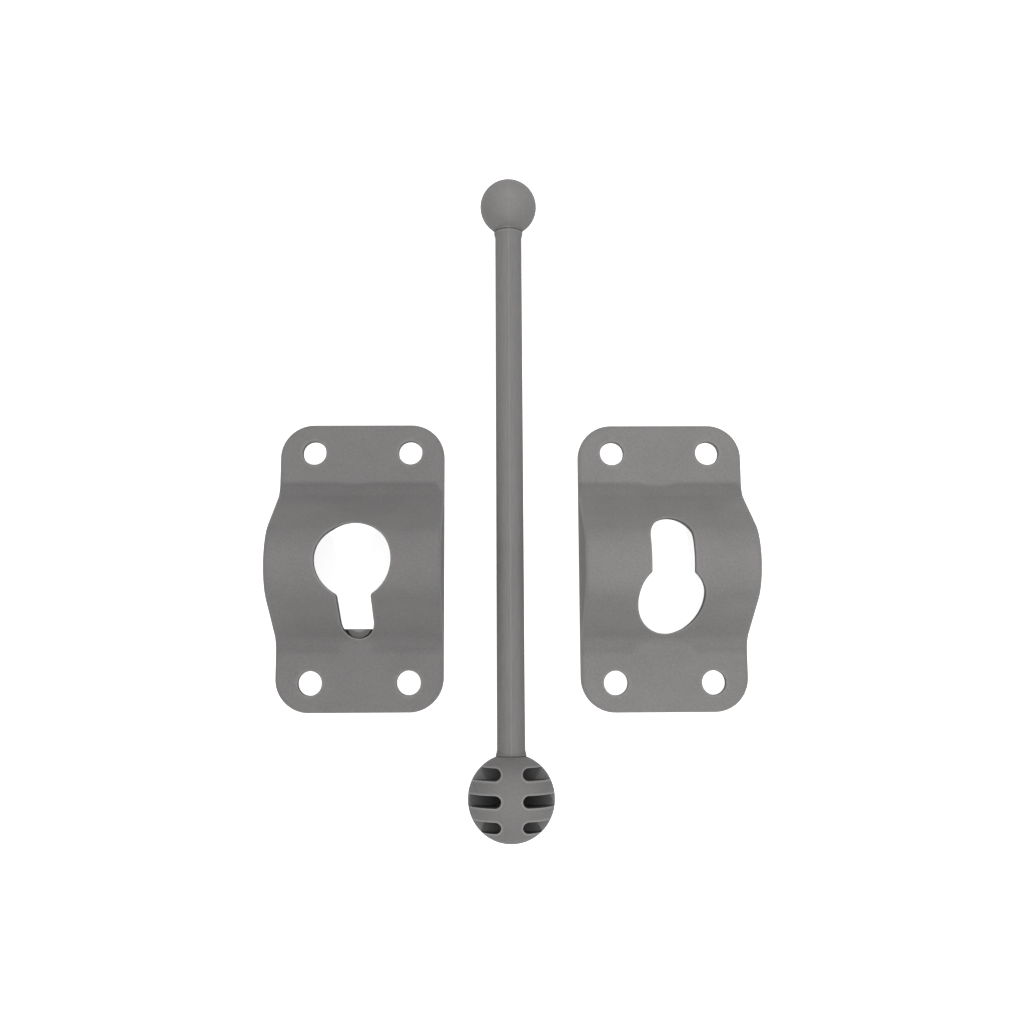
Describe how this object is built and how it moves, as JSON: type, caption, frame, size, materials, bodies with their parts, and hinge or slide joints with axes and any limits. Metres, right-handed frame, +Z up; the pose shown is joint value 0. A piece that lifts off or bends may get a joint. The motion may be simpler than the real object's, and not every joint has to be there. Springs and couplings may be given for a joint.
{
  "type": "door holdback catch",
  "caption": "Door holdback: a rod with a large cored ball and a small ball swings from a humped wall plate and catches in a humped door plate with a keyhole.",
  "frame": {"origin": "on the surface that the kit lies on, under the middle of the kit", "axes": "+Z up from the surface, +Y along the rod from the large ball to the small one, +X from the pivot plate to the catch plate"},
  "size_m": [0.1078, 0.1524, 0.0211],
  "materials": {
    "grey_plastic": "satin moulded mid grey"
  },
  "bodies": {
    "pivot_side": {"pivot_plate": "grey_plastic"},
    "catch_side": {"catch_plate": "grey_plastic"},
    "swing_rod": {"rod": "grey_plastic", "pivot_ball": "grey_plastic", "catch_ball": "grey_plastic"}
  },
  "joints": [
    {"name": "rod_swing", "type": "hinge", "parent": "pivot_side", "child": "swing_rod", "pos_m": [-0.0005, -0.06667, 0.00953], "axis": [1, 0, 0], "range_deg": [0, 125]},
    {"name": "catch_travel", "type": "slide", "parent": "pivot_side", "child": "catch_side", "axis": [0, -1, 0], "range_m": [0, 0.011]}
  ]
}
